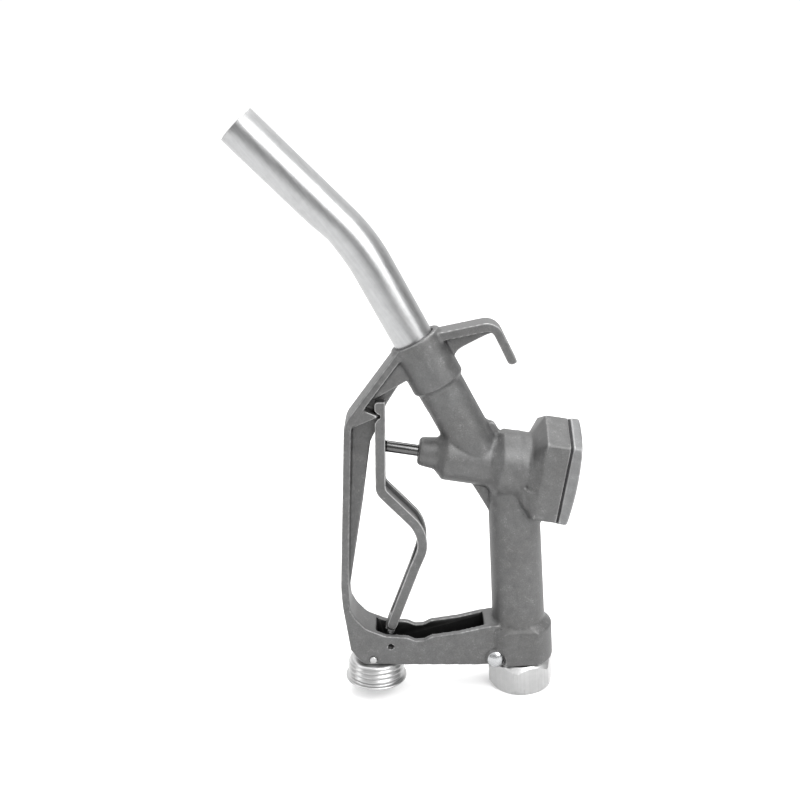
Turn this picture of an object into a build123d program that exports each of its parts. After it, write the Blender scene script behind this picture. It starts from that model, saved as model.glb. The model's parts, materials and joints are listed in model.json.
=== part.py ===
"""Hand-operated fuel nozzle: cast body with guard and hook, lever, lift valve, spout and swivel inlet.

Frame: origin at the centre of the inlet mouth, +Z up the handle, +X towards the valve cover,
+Y away from the side that carries the retaining pin's head. Millimetres and degrees.
"""

import os
from math import atan2, cos, degrees, radians, sin, tan

from build123d import *

# swivel inlet
hex_across_flats = 40.0
hex_height = 20.1
hex_turn = 16.6
hex_crown = 4.0
hex_base = 1.2
hex_base_rise = 1.3
hex_corner = 2.4
inlet_thread_radius = 15.15
inlet_thread_depth = 12.0
seat_recess_radius = 14.6
seat_recess_depth = 3.0
spigot_radius = 15.6
spigot_height = 17.9
spigot_clearance = 0.5
flow_radius = 11.0
swivel_gap = 0.4
running_gap = 0.06
ring_section = 1.9
groove_gap = 0.2
ring_slack = 0.05
pin_groove_depth = 1.4
pin_groove_width = 6.0
swivel_ring_drop = 4.0

# retaining pin across the inlet boss
retainer_radius = 2.7
retainer_engagement = 1.1
retainer_height = 25.2
dome_radius = 5.6
dome_height = 2.1
pin_pad_rim = 0.3
pin_pad_rise = 2.0

# inlet boss and handle
boss_wall = 6.2
boss_face_wall = 3.4
boss_top = 48.4
boss_slope = 4.2
boss_flat_share = 0.6
handle_foot_radius = 17.4
handle_top_radius = 16.3
handle_bore_radius = 12.4

# valve axis
valve_tilt = 12.5
valve_height = 156.3
gland_end = -61.0
gland_end_radius = 8.9
gland_root = -49.5
gland_root_radius = 10.4
outlet_body_radius = 16.2
chamber_body_start = -9.0
chamber_wall = 4.4
flare_start = 8.5
lower_flare_start = 2.0
lower_flare_inset = 1.0
lower_flare_top = -8.0
flange_start = 15.0
flange_end = 29.6
flange_half_width = 28.0
flange_side_half = 25.0
flange_peak = 35.5
flange_corner_radius = 3.0
chamber_radius = 17.5
outlet_radius = 11.5
port_setback = 2.1
port_length = 14.0
port_overlap = 6.0
gasket_thickness = 1.2
cover_thickness = 5.6
cover_dome_radius = 195.0
cover_lip = 0.5
screw_radius = 2.5
screw_offset_up = 16.5
screw_offset_side = 21.0
screw_depth = 12.0
screw_head_radius = 4.4
screw_head_height = 3.4
screw_seat = 3.2
screw_socket_radius = 2.3
screw_socket_depth = 2.2
screw_clearance = 0.3

# seat, poppet and stem
seat_face = -3.6
seat_length = 5.6
seat_bore_radius = 14.2
seat_inner_radius = 10.4
seal_gap = 0.3
seal_thickness = 3.0
seal_radius = 13.4
poppet_thickness = 4.2
poppet_radius = 14.4
stem_radius = 3.75
stem_gap = 0.5
stem_clearance = 0.3
stem_nose_radius = 3.0
washer_thickness = 1.8
washer_radius = 8.8
nut_flats = 10.0
nut_height = 4.4
gland_radius = 6.0
bush_length = 7.0
packing_length = 5.0
circlip_thickness = 1.0
circlip_clearance = 0.9
circlip_opening = 2.4
spring_wire_radius = 0.95
spring_mean_radius = 11.2
spring_turns = 5.5
guide_radius = 8.6
guide_length = 8.0
guide_socket = 2.0

# neck, collar and spout
neck_lean = 25.0
neck_foot_x = -19.1
neck_radius = 14.85
collar_wall = 4.2
collar_start = 59.3
collar_end = 90.9
collar_shoulder = 1.8
socket_depth = 24.0
spout_diameter = 25.4
spout_wall = 1.5
spout_bend = 17.0
spout_bend_radius = 110.0
spout_to_bend = 65.9
spout_to_tip = 99.6
socket_gap = 0.05
fitted_gap = 0.02
grub_radius = 2.0
grub_inset = 0.9

# guard
guard_width = 25.0
guard_thickness = 4.8
web_thickness = 5.0
guard_corner_radius = 13.0
guard_foot_radius = 120.0
gusset_width = 18.0
wedge_width = 23.0
pivot_x = -83.3
pivot_rise = 40.7
knife_radius = 0.8
notch_radius = 1.5

# hook
hook_width = 18.0
hook_thickness = 5.6
hook_bend_radius = 8.0

# bracket
bracket_width = 27.0
slot_width = 18.0
slot_floor = 30.5
slot_left = -95.5
slot_low_left = -91.0
slot_step = 36.0
slot_land = 3.6
slot_top = 90.0
lock_hole_x = -86.1
lock_hole_z = 38.0
lock_hole_radius = 2.0

# lever
lever_travel = 16.0
lever_width = 22.0
lever_foot_width = 12.0
lever_thickness = 6.4
lever_rail = 3.0
lever_left_depth = 1.3
lever_right_depth = 2.6
fork_gap = 0.8
fork_depth = 14.5
lever_bend_radius = 8.0
lever_tongue_width = 8.0
lever_narrowing = 20.0
lever_hump_radius = 25.0

# foot cap
foot_x = -97.0
foot_pin_offset = -1.6
foot_pin_height = 3.4
foot_pin_radius = 2.4
cap_radius = 17.8
cap_wall = 1.0
cap_height = 15.2
cap_ridge_radius = 1.3
cap_ridges = 3
cap_ridge_pitch = 3.5
cap_rim_radius = 19.6
cap_bead_radius = 0.95
plug_radius = 4.2
plug_rise = 8.0
plug_head_radius = 8.0
plug_head_height = 3.0

# strainer and inlet gasket
strainer_radius = 9.6
strainer_height = 34.0
strainer_wall = 0.8
strainer_flange = 0.8

far = 400.0  # longer than the whole nozzle, for cuts that pass right through

# sizes that follow from the ones above
boss_radius = spigot_radius + boss_wall
boss_half_depth = spigot_radius + boss_face_wall
chamber_body_radius = chamber_radius + chamber_wall
collar_radius = spout_diameter / 2 + collar_wall
pivot_z = valve_height + pivot_rise

# the bracket's underside, from the boss to the left end
under_right = (-30.0, 20.8)
under_left = (-104.0, 25.9)
foot_tilt = degrees(atan2(under_left[1] - under_right[1], under_right[0] - under_left[0]))

# the guard's middle line, from the collar down to the bracket
guard_path = [(-66.0, valve_height + 80.1), (-102.3, valve_height + 36.7), (-113.9, 76.0), (-110.4, 36.0)]

# the lever's middle line, from its head down to its foot
lever_path = [
    (-81.3, valve_height + 49.9), (-85.1, valve_height - 9.3), (-56.6, valve_height - 42.6), (-86.3, 45.4),
]


# places

def raised(points):
    """Places in the XZ plane from points measured up from the height of the valve axis."""
    return [(x, valve_height + rise) for x, rise in points]


def valve_plane(along):
    """A plane across the valve axis; its X points up, its Z along the axis to the cover."""
    tilt = radians(valve_tilt)
    origin = (along * cos(tilt), 0, valve_height - along * sin(tilt))
    return Plane(origin=origin, x_dir=(sin(tilt), 0, cos(tilt)), z_dir=(cos(tilt), 0, -sin(tilt)))


def neck_foot():
    """The point where the neck's axis meets the valve axis."""
    return Vector(neck_foot_x, 0, valve_height - neck_foot_x * tan(radians(valve_tilt)))


def neck_point(along, lean=neck_lean, start=None):
    """A point on a line that leans back from +Z towards -X."""
    base = start if start is not None else neck_foot()
    return base + Vector(-sin(radians(lean)), 0, cos(radians(lean))) * along


def neck_plane(along):
    """A plane across the neck's axis."""
    lean = radians(neck_lean)
    return Plane(origin=neck_point(along), x_dir=(cos(lean), 0, sin(lean)), z_dir=(-sin(lean), 0, cos(lean)))


def foot_plane(rise=0.0):
    """A plane on the bracket's underside at the foot cap, its Z pointing into the bracket."""
    slope = (under_left[1] - under_right[1]) / (under_left[0] - under_right[0])
    tilt = radians(foot_tilt)
    base = Vector(foot_x, 0, under_right[1] + (foot_x - under_right[0]) * slope)
    up = Vector(sin(tilt), 0, cos(tilt))
    return Plane(origin=base + up * rise, x_dir=(cos(tilt), 0, -sin(tilt)), z_dir=up)


def foot_pin_place():
    """Where the foot's pin crosses the stud, a little to the left of its axis."""
    plane = foot_plane(foot_pin_height)
    return plane.origin + plane.x_dir * foot_pin_offset


def side_plane(depth=0.0):
    """The XZ plane, its normal pointing to -Y, at a distance in front of the middle."""
    return Plane(origin=(0, -depth, 0), x_dir=(1, 0, 0), z_dir=(0, -1, 0))


# shapes

def rod(plane, radius, length):
    """A cylinder that starts on a plane and runs along its normal."""
    return plane * Cylinder(radius, length, align=(Align.CENTER, Align.CENTER, Align.MIN))


def ring(plane, outer, inner, length):
    """A plain tube that starts on a plane."""
    return rod(plane, outer, length) - rod(plane, inner, length)


def taper(plane, first, last, length):
    """A cone that starts on a plane."""
    return plane * Cone(first, last, length, align=(Align.CENTER, Align.CENTER, Align.MIN))


def plate(points, thickness, radii=0.0):
    """A flat plate with an outline in the XZ plane, centred on Y = 0."""
    outline = FilletPolyline(*points, radius=radii, close=True)
    face = side_plane(thickness / 2) * make_face(outline)
    return extrude(face, amount=-thickness)


def bar(points, radii, thickness, width):
    """A flat bar that follows a line in the XZ plane."""
    path = side_line(points, radii)
    start = Plane(origin=path @ 0, x_dir=(0, 1, 0), z_dir=path % 0)
    return sweep(start * Rectangle(width, thickness), path=path)


def side_line(points, radii):
    """A line in the XZ plane with rounded corners."""
    return Plane.XZ * (FilletPolyline(*points, radius=radii) if len(points) > 2 else Line(*points))


def o_ring(plane, inner, section):
    """A round-section ring, given its inner radius and its section's diameter."""
    return plane * Torus(inner + section / 2, section / 2)


def flange_face(grow=0.0):
    """The six-sided outline that the flange, gasket and cover share."""
    half = flange_half_width + grow
    side = flange_side_half + grow / 2
    peak = flange_peak + grow
    points = [(peak, 0), (side, half), (-side, half), (-peak, 0), (-side, -half), (side, -half)]
    return make_face(FilletPolyline(*points, radius=flange_corner_radius, close=True))


def screw_places():
    """The four cover screws' places across the valve axis."""
    places = []
    for up in (screw_offset_up, -screw_offset_up):
        for side in (screw_offset_side, -screw_offset_side):
            places.append((up, side))
    return places


# the casting

def neck_and_collar():
    neck = rod(neck_plane(0), neck_radius, collar_start)
    shoulder = taper(neck_plane(collar_start - collar_shoulder), neck_radius, collar_radius, collar_shoulder)
    collar = rod(neck_plane(collar_start), collar_radius, collar_end - collar_start)
    rim = collar.edges().filter_by(GeomType.CIRCLE).sort_by(Axis.Z)[-1]
    collar = fillet(rim, 1.2)
    return neck + shoulder + collar


def valve_housing():
    gland = taper(valve_plane(gland_end), gland_end_radius, gland_root_radius, gland_root - gland_end)
    gland = chamfer(gland.edges().filter_by(GeomType.CIRCLE).sort_by(Axis.X)[0], 1.6)
    shoulder_length = outlet_body_radius - gland_root_radius
    shoulder = taper(valve_plane(gland_root), gland_root_radius, outlet_body_radius, shoulder_length)
    outlet_start = gland_root + shoulder_length
    outlet = rod(valve_plane(outlet_start), outlet_body_radius, chamber_body_start - outlet_start)
    step = chamber_body_radius - outlet_body_radius
    ridge = taper(valve_plane(chamber_body_start - step), outlet_body_radius, chamber_body_radius, step)
    chamber = rod(valve_plane(chamber_body_start), chamber_body_radius, flange_start - chamber_body_start)
    flare_foot = valve_plane(flare_start) * Circle(chamber_body_radius)
    flare = loft([flare_foot, valve_plane(flange_start) * flange_face()])
    flange = extrude(valve_plane(flange_start) * flange_face(), amount=flange_end - flange_start)
    return gland + shoulder + outlet + ridge + chamber + flare + lower_flare() + flange


def lower_flare():
    """The longer flare below the valve axis that runs into the handle."""
    first = valve_plane(lower_flare_start) * Circle(chamber_body_radius - lower_flare_inset)
    flare = loft([first, valve_plane(flange_start) * flange_face()])
    return flare & (valve_plane(0) * Pos(lower_flare_top - far / 2, 0, 0) * Box(far, far, far))


def handle():
    height = valve_height - boss_top
    return taper(Plane.XY.offset(boss_top), handle_foot_radius, handle_top_radius, height)


def handle_ribs():
    """The thin ribs that tie the housing to the handle and to the neck."""
    lower = plate(raised([(-30, -4.3), (-15, -4.3), (-15, -30.3), (-16.5, -30.3)]), web_thickness)
    outline = raised([(-26, 21.7), (-16.5, 31.2), (-10.5, 29.4), (-5.5, 19.7)])
    lug = plate(outline, web_thickness, radii=[0, 1, 3, 0])
    return lower + lug


def boss_outline(inset=0.0):
    """The boss's outline, a circle with a flat in front and behind."""
    depth = boss_half_depth - inset * boss_flat_share
    return Circle(boss_radius - inset) & Rectangle(boss_radius * 2, depth * 2)


def inlet_boss():
    bottom = hex_height + swivel_gap
    shoulder = boss_top - boss_slope
    boss = extrude(Plane.XY.offset(bottom) * boss_outline(), amount=shoulder - bottom)
    boss = chamfer(boss.edges().group_by(Axis.Z)[0], 0.8)
    top_outline = Plane.XY.offset(boss_top) * boss_outline(boss_slope)
    return boss + loft([Plane.XY.offset(shoulder) * boss_outline(), top_outline])


def pin_x():
    """The retaining pin's distance from the handle's axis."""
    return -(spigot_radius - retainer_engagement + retainer_radius)


def pin_seat_depth():
    """How far in front of the middle the retaining pin's head sits."""
    return bracket_width / 2 + pin_pad_rise


def pin_pad():
    """The flat pad that the retaining pin's heads bear on, at both sides."""
    start = Plane(origin=(pin_x(), -pin_seat_depth(), retainer_height), z_dir=(0, 1, 0))
    pad = rod(start, dome_radius + pin_pad_rim, pin_seat_depth() * 2)
    return pad - Pos(0, 0, hex_height + swivel_gap - far / 2) * Box(far, far, far)


def bracket():
    """The box that joins the guard to the handle, without its slot."""
    outline = [
        (-14.0, hex_height + swivel_gap + 0.2), under_right, under_left, (-111.4, 33.0),
        (-114.2, 66.0), (-110.6, 66.0), (-108.0, 60.0), (-101.6, 52.0), (-89.0, 45.8), (-74.5, 43.9),
        (-69.5, 41.2), (-63.8, 41.2), (-59.0, 43.5), (-40.0, 45.2), (-25.0, 48.0), (-14.0, 49.0),
    ]
    radii = [0, 8, 6, 14, 0, 0, 8, 10, 8, 3, 2.5, 2.5, 3, 20, 8, 0]
    return plate(outline, bracket_width, radii=radii)


def guard():
    """The guard's outer strip, its thin inner web, the thick gusset and the knife edge."""
    strip = bar(guard_path, [guard_corner_radius, guard_foot_radius], guard_thickness, guard_width)
    inner_edge = raised([(-62.0, 64.7), (-64.8, 60.5), (-69.1, 57.6), (-77.5, 45.8), (-84.6, 30.7),
                         (-89.4, 22.0), (-92.0, 8.9), (-97.3, -18.3), (-103.4, -46.0)])
    outer_edge = raised([(-102.0, 33.7), (-99.0, 39.7), (-68.0, 77.2)])
    web = plate(inner_edge + [(-110.5, 78.0), (-113.0, 78.0)] + outer_edge, web_thickness)
    gusset = plate(raised([(-60.0, 75.7), (-62.0, 62.7), (-71.7, 57.8), (-90.2, 48.6), (-93.6, 47.9),
                           (-68.0, 78.2)]), gusset_width)
    knife_tip = (pivot_x + knife_radius * 1.5, pivot_z)
    knife_back = raised([(-92.2, 45.7), (-99.0, 41.7), (-103.0, 33.7), (-99.3, 34.5)])
    knife = plate([knife_tip] + knife_back, wedge_width, radii=[knife_radius, 0, 0, 0, 0])
    return strip + web + gusset + knife


def hook():
    """The hanging hook on the collar, a flat bar with a thin rib below it."""
    path = raised([(-48.0, 87.3), (-8.0, 93.0), (2.7, 67.9)])
    arm = bar(path, [hook_bend_radius], hook_thickness, hook_width)
    arm = fillet(arm.edges().filter_by(Axis.Y).group_by(Axis.Z)[0], hook_thickness / 2 - 0.1)
    rib = plate(raised([(-40.0, 87.7), (-34.0, 73.7), (-30.5, 78.0), (-25.3, 80.7), (-12.4, 86.3),
                        (-9.5, 87.1), (-9.5, 91.2)]), web_thickness)
    return arm + rib


def casting_bores():
    """Everything that is cut out of the casting around the moving and fitted pieces."""
    return flow_bores() + neck_bores() + flange_holes() + pin_holes()


def flow_bores():
    """The swivel's seat, the handle's bore, the valve chamber and the stem's gland."""
    bore_top = spigot_height + hex_height + spigot_clearance
    cuts = rod(Plane.XY, spigot_radius + running_gap, bore_top)
    handle_bore = rod(Plane.XY.offset(bore_top), handle_bore_radius, valve_height)
    outlet_roof = valve_plane(0) * Pos(-outlet_radius - chamber_wall + far / 2, 0, 0) * Box(far, far, far)
    cuts += handle_bore - outlet_roof
    port_start = seat_face + port_setback
    port_depth = -(chamber_radius + outlet_radius + chamber_wall) / 2
    port = valve_plane(port_start) * Pos(port_depth, 0, port_length / 2)
    cuts += port * Box(chamber_radius - outlet_radius + chamber_wall + port_overlap, handle_bore_radius * 1.7,
                       port_length)
    cuts += rod(valve_plane(seat_face), chamber_radius, flange_end - seat_face)
    cuts += rod(valve_plane(seat_face - seat_length), seat_bore_radius, seat_length)
    outlet_start = gland_root + outlet_body_radius - gland_root_radius + chamber_wall
    cuts += rod(valve_plane(outlet_start), outlet_radius, seat_face - seat_length - outlet_start)
    cuts += rod(valve_plane(gland_end), stem_radius + stem_clearance, outlet_start - gland_end)
    return cuts + rod(valve_plane(gland_end), gland_radius, circlip_thickness + bush_length + packing_length)


def neck_bores():
    """The neck's flow bore, the spout's socket, its ring groove and its screw hole."""
    socket_start = collar_end - socket_depth
    cuts = rod(neck_plane(0), flow_radius, socket_start)
    cuts += rod(neck_plane(socket_start), spout_diameter / 2 + socket_gap, socket_depth * 1.25)
    groove_start = ring_place() - ring_section / 2 - groove_gap
    cuts += rod(neck_plane(groove_start), spout_diameter / 2 + ring_section, ring_section + 2 * groove_gap)
    return cuts + grub_hole(grub_radius + socket_gap, collar_radius)


def flange_holes():
    """The cover screws' blind holes."""
    cuts = None
    for up, side in screw_places():
        start = valve_plane(flange_end - screw_depth - screw_clearance) * Pos(up, side, 0)
        hole = start * Cylinder(screw_radius + socket_gap, screw_depth * 2,
                                align=(Align.CENTER, Align.CENTER, Align.MIN))
        cuts = hole if cuts is None else cuts + hole
    return cuts


def pin_holes():
    """The holes for the retaining pin, the lock, the foot's stud and the foot's pin."""
    cuts = cross_rod(pin_x(), retainer_height, retainer_radius + socket_gap)
    for side in (1, -1):
        face = Plane(origin=(pin_x(), side * pin_seat_depth(), retainer_height), z_dir=(0, side, 0))
        cuts += rod(face, dome_radius + pin_pad_rim * 2, boss_radius)
    cuts += cross_rod(lock_hole_x, lock_hole_z, lock_hole_radius)
    cuts += rod(foot_plane(0), plug_radius + socket_gap, plug_rise + groove_gap)
    at = foot_pin_place()
    return cuts + cross_rod(at.X, at.Z, foot_pin_radius + socket_gap)


def cross_rod(x, z, radius):
    """A rod right across the nozzle, along Y."""
    return rod(Plane(origin=(x, -far / 2, z), z_dir=(0, 1, 0)), radius, far)


def slot():
    """The open slot that the lever's foot swings in, clear of the handle above it."""
    right = pin_x() - retainer_radius - slot_land
    corners = [(slot_low_left, slot_floor), (right, slot_floor), (right, slot_top)]
    corners += [(slot_left, slot_top), (slot_left, slot_step), (slot_low_left, slot_step)]
    opening = plate(corners, slot_width)
    return opening - rod(Plane.XY, handle_foot_radius, slot_top)


def ring_place():
    """Where the spout's sealing ring sits along the neck."""
    return collar_end - socket_depth * 0.6


def grub_hole(radius, length):
    """A cylinder from the spout's wall out through the back of the collar."""
    at = neck_point(collar_end - socket_depth * 0.25)
    start = Plane(origin=at + Vector(0, spout_diameter / 2 + socket_gap * 2, 0), z_dir=(0, 1, 0))
    return rod(start, radius, length)


def body_casting():
    solid = neck_and_collar() + valve_housing() + handle() + handle_ribs() + inlet_boss()
    solid += pin_pad()
    solid += bracket()
    solid += guard()
    solid += hook()
    solid -= slot()
    return solid - casting_bores()


# spout

def spout_tube():
    start = neck_point(collar_end - socket_depth + 0.3)
    bend = neck_point(collar_end + spout_to_bend)
    tip = neck_point(spout_to_tip, neck_lean + spout_bend, bend)
    path = FilletPolyline(start, bend, tip, radius=spout_bend_radius)
    outer = spout_diameter / 2
    begin = Plane(origin=path @ 0, x_dir=(0, 1, 0), z_dir=path % 0)
    section = begin * (Circle(outer) - Circle(outer - spout_wall))
    return sweep(section, path=path)


def spout_ring():
    return o_ring(neck_plane(ring_place()), spout_diameter / 2 + ring_slack, ring_section - 2 * ring_slack)


def spout_grub():
    length = collar_wall - grub_inset
    return grub_hole(grub_radius, length)


# cover and valve

def cover_holes(first, last, radius):
    holes = []
    for up, side in screw_places():
        at = valve_plane(first) * Pos(up, side, 0)
        holes.append(at * Cylinder(radius, last - first, align=(Align.CENTER, Align.CENTER, Align.MIN)))
    return holes


def cover_gasket():
    end = flange_end + gasket_thickness
    sheet = extrude(valve_plane(flange_end) * flange_face(-0.6), amount=gasket_thickness)
    sheet -= rod(valve_plane(flange_end), chamber_radius, gasket_thickness)
    for hole in cover_holes(flange_end, end, screw_radius + screw_clearance):
        sheet -= hole
    return sheet


def valve_cover():
    inner = flange_end + gasket_thickness
    corner = (flange_side_half ** 2 + flange_half_width ** 2) ** 0.5
    dome = corner ** 2 / (2 * cover_dome_radius)
    lid = extrude(valve_plane(inner) * flange_face(cover_lip), amount=cover_thickness + dome)
    lid = lid & (valve_plane(inner + cover_thickness + dome - cover_dome_radius) * Sphere(cover_dome_radius))
    lid = fillet(lid.faces().sort_by(Axis.X)[-1].edges(), 1.2)
    for hole in cover_holes(inner, inner + screw_seat, screw_radius + screw_clearance):
        lid -= hole
    beyond = inner + cover_thickness * 2
    for recess in cover_holes(inner + screw_seat, beyond, screw_head_radius + screw_clearance):
        lid -= recess
    return lid - rod(valve_plane(inner), guide_radius + socket_gap, guide_socket)


def cover_screws():
    """Four cap screws, their heads sunk in the cover."""
    seat = flange_end + gasket_thickness + screw_seat
    screws = []
    for up, side in screw_places():
        at = valve_plane(seat) * Pos(up, side, 0)
        shank_length = seat - flange_end + screw_depth
        shank = at * Cylinder(screw_radius, shank_length, align=(Align.CENTER, Align.CENTER, Align.MAX))
        head = at * Cylinder(screw_head_radius, screw_head_height,
                             align=(Align.CENTER, Align.CENTER, Align.MIN))
        head = fillet(head.edges().filter_by(GeomType.CIRCLE).sort_by(Axis.X)[-1], 0.5)
        hexagon = at * Pos(0, 0, screw_head_height) * RegularPolygon(screw_socket_radius, 6)
        screws.append(shank + head - extrude(hexagon, amount=-screw_socket_depth))
    return Compound(children=screws)


def spring_guide():
    inner = flange_end + gasket_thickness
    stud = rod(valve_plane(inner - guide_length), guide_radius, guide_length + guide_socket)
    return stud - rod(valve_plane(inner - guide_length), guide_radius - 2.2, guide_length)


def seal_start():
    """Where the rubber seal's left face is along the valve axis, with the valve shut."""
    return seat_face + 0.7 + seal_gap


def poppet_back():
    """Where the poppet's right face is along the valve axis, with the valve shut."""
    return seal_start() + seal_thickness + poppet_thickness


def valve_seat():
    start = seat_face - seat_length
    body = ring(valve_plane(start), seat_bore_radius, seat_inner_radius, seat_length)
    lip = ring(valve_plane(seat_face), seat_inner_radius + 1.6, seat_inner_radius, 0.7)
    return body + lip


def stem_tip():
    """Where the stem's left end is along the valve axis, just clear of the lever's channel floor."""
    top, bend = lever_path[0], lever_path[1]
    length = ((bend[0] - top[0]) ** 2 + (bend[1] - top[1]) ** 2) ** 0.5
    across = ((top[1] - bend[1]) / length, (bend[0] - top[0]) / length)
    floor = top[0] * across[0] + (top[1] - valve_height) * across[1] + lever_thickness / 2 - lever_right_depth
    tilt = radians(valve_tilt)
    return floor / (cos(tilt) * across[0] - sin(tilt) * across[1]) + stem_gap


def valve_stem():
    start = stem_tip()
    shoulder = seal_start() - washer_thickness
    main = rod(valve_plane(start), stem_radius, shoulder - start)
    main = fillet(main.edges().filter_by(GeomType.CIRCLE).sort_by(Axis.X)[0], stem_radius - 0.4)
    nose = rod(valve_plane(shoulder), stem_nose_radius, poppet_back() + nut_height + 1.6 - shoulder)
    nose = chamfer(nose.edges().filter_by(GeomType.CIRCLE).sort_by(Axis.X)[-1], 0.5)
    return main + nose


def seal_washer():
    start = seal_start() - washer_thickness
    return ring(valve_plane(start), washer_radius, stem_nose_radius + socket_gap, washer_thickness)


def poppet_seal():
    return ring(valve_plane(seal_start()), seal_radius, stem_nose_radius + socket_gap, seal_thickness)


def poppet():
    start = seal_start() + seal_thickness
    disc = rod(valve_plane(start), poppet_radius, poppet_thickness)
    disc = chamfer(disc.edges().filter_by(GeomType.CIRCLE).sort_by(Axis.X)[-1], 1.0)
    return disc - rod(valve_plane(start), stem_nose_radius + socket_gap, poppet_thickness)


def stem_nut():
    hexagon = valve_plane(poppet_back()) * RegularPolygon(nut_flats / 2, 6, major_radius=False)
    nut = extrude(hexagon, amount=nut_height)
    return nut - rod(valve_plane(poppet_back()), stem_nose_radius + socket_gap, nut_height)


def main_spring():
    start = poppet_back() + seal_gap + spring_wire_radius
    length = flange_end + gasket_thickness - 0.1 - spring_wire_radius - start
    path = Helix(pitch=length / spring_turns, height=length, radius=spring_mean_radius)
    begin = Plane(origin=path @ 0, z_dir=path % 0)
    return valve_plane(start) * sweep(begin * Circle(spring_wire_radius), path=path, is_frenet=True)


def gland_bush():
    start = gland_end + circlip_thickness
    return ring(valve_plane(start), gland_radius - fitted_gap, stem_radius + running_gap, bush_length)


def stem_packing():
    start = gland_end + circlip_thickness + bush_length
    length = packing_length - groove_gap
    return ring(valve_plane(start), gland_radius - 2 * socket_gap, stem_radius + running_gap, length)


def gland_circlip():
    thickness = circlip_thickness - 2 * socket_gap
    inner = stem_radius + circlip_clearance
    clip = ring(valve_plane(gland_end + socket_gap), gland_radius - socket_gap, inner, thickness)
    opening = valve_plane(gland_end) * Pos(gland_radius, 0, 0) * Box(gland_radius * 2, circlip_opening, 4)
    return clip - opening


# lever

def lever():
    """A channel-section lever, forked at its head round the guard's web, narrower at its foot."""
    solid = bar(lever_path, [lever_bend_radius, lever_hump_radius], lever_thickness, lever_width)
    solid = fillet(solid.edges().filter_by(Axis.Y).group_by(Axis.Z)[-1], 2.0)
    solid -= lever_pockets()
    solid -= lever_foot_sides()
    solid -= lever_tongue_sides()
    fork = Pos(pivot_x, 0, pivot_z - fork_depth) * Box(30, web_thickness + 2 * fork_gap, 80,
                                                       align=(Align.CENTER, Align.CENTER, Align.MIN))
    solid -= fork
    slot_x = pivot_x + 0.3
    mouth = plate([(slot_x, pivot_z - notch_radius), (slot_x, pivot_z + notch_radius),
                   (pivot_x - 3.3, pivot_z + 6.0), (pivot_x - 6.7, pivot_z + 6.0),
                   (pivot_x - 6.7, pivot_z - 6.5), (pivot_x - 2.9, pivot_z - 5.4)], lever_width + 2)
    return solid - mouth - cross_rod(pivot_x + 0.4, pivot_z, notch_radius)


def lever_upper_point(share):
    """A point on the lever's upper limb, by its share of the way from the head to the bend."""
    first, last = lever_path[0], lever_path[1]
    return (first[0] + (last[0] - first[0]) * share, first[1] + (last[1] - first[1]) * share)


def lever_lower_point(share):
    """A point on the lever's lower limb, by its share of the way from the hump to the foot."""
    first, last = lever_path[2], lever_path[3]
    return (first[0] + (last[0] - first[0]) * share, first[1] + (last[1] - first[1]) * share)


def lever_pockets():
    """The long hollows between the lever's side rails, on both of its faces."""
    floor_left = -lever_thickness / 2 + lever_left_depth
    floor_right = lever_thickness / 2 - lever_right_depth
    points = [lever_upper_point(0.12), lever_path[1], lever_path[2], lever_lower_point(0.86)]
    radii = [lever_bend_radius, lever_hump_radius]
    width = lever_width - 2 * lever_rail
    right = offset_bar(points, radii, floor_right, lever_thickness, width)
    left = offset_bar(points, radii, -lever_thickness, floor_left, width)
    return right + left - lever_foot_sides(lever_rail)


def offset_bar(points, radius, low, high, width):
    """A bar beside a line: it fills from low to high, measured to the line's right."""
    path = side_line(points, radius)
    start = Plane(origin=path @ 0, x_dir=(0, 1, 0), z_dir=path % 0)
    return sweep(start * Pos(0, (low + high) / 2) * Rectangle(width, high - low), path=path)


def lever_foot_sides(inset=0.0):
    """What is cut off the lever's sides so that its lower limb narrows to its foot."""
    hump = lever_path[2][1] - 3.0
    half = lever_width / 2 + 1
    wide = lever_width / 2 - inset
    foot = lever_foot_width / 2 - inset
    sides = None
    for side in (1, -1):
        points = [(side * half, hump), (side * wide, hump), (side * foot, hump - lever_narrowing),
                  (side * foot, 0), (side * half, 0)]
        cut = extrude(Plane.YZ * make_face(Polyline(*points, close=True)), amount=-far)
        sides = cut if sides is None else sides + cut
    return sides


def lever_tongue_sides():
    """What is cut off the lever's sides below the rounded ends of its rails."""
    start, end = lever_lower_point(0.93), lever_lower_point(1.1)
    below = bar([start, end], 0, lever_thickness + 2, lever_width) - cross_rod(*start, lever_thickness / 2)
    return below - Box(far, lever_tongue_width, far)


# swivel inlet

def swivel_nut():
    hexagon = RegularPolygon(hex_across_flats / 2, 6, major_radius=False, rotation=hex_turn)
    body = extrude(hexagon, amount=hex_height)
    reach = hex_across_flats / 2 + hex_corner
    top_cone = taper(Plane.XY.offset(hex_height - hex_crown), reach, hex_across_flats / 2 - 1.2, hex_crown)
    barrel = rod(Plane.XY.offset(hex_base), reach, hex_height - hex_crown - hex_base)
    low_cone = taper(Plane.XY, hex_across_flats / 2 + hex_base_rise, reach, hex_base)
    body = body & (barrel + top_cone + low_cone)
    body += rod(Plane.XY.offset(hex_height), spigot_radius, spigot_height)
    body -= rod(Plane.XY, inlet_thread_radius, inlet_thread_depth)
    body -= rod(Plane.XY, seat_recess_radius, inlet_thread_depth + seat_recess_depth)
    body -= rod(Plane.XY, flow_radius, hex_height + spigot_height)
    groove = retainer_height - pin_groove_width / 2
    groove_radius = spigot_radius - pin_groove_depth
    body -= ring(Plane.XY.offset(groove), spigot_radius + 1, groove_radius, pin_groove_width)
    seal = swivel_ring_height() - ring_section / 2 - groove_gap
    body -= ring(Plane.XY.offset(seal), spigot_radius + 1, spigot_radius - ring_section,
                 ring_section + 2 * groove_gap)
    return body


def swivel_ring_height():
    """Where the swivel's sealing ring sits."""
    return hex_height + spigot_height - swivel_ring_drop


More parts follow.
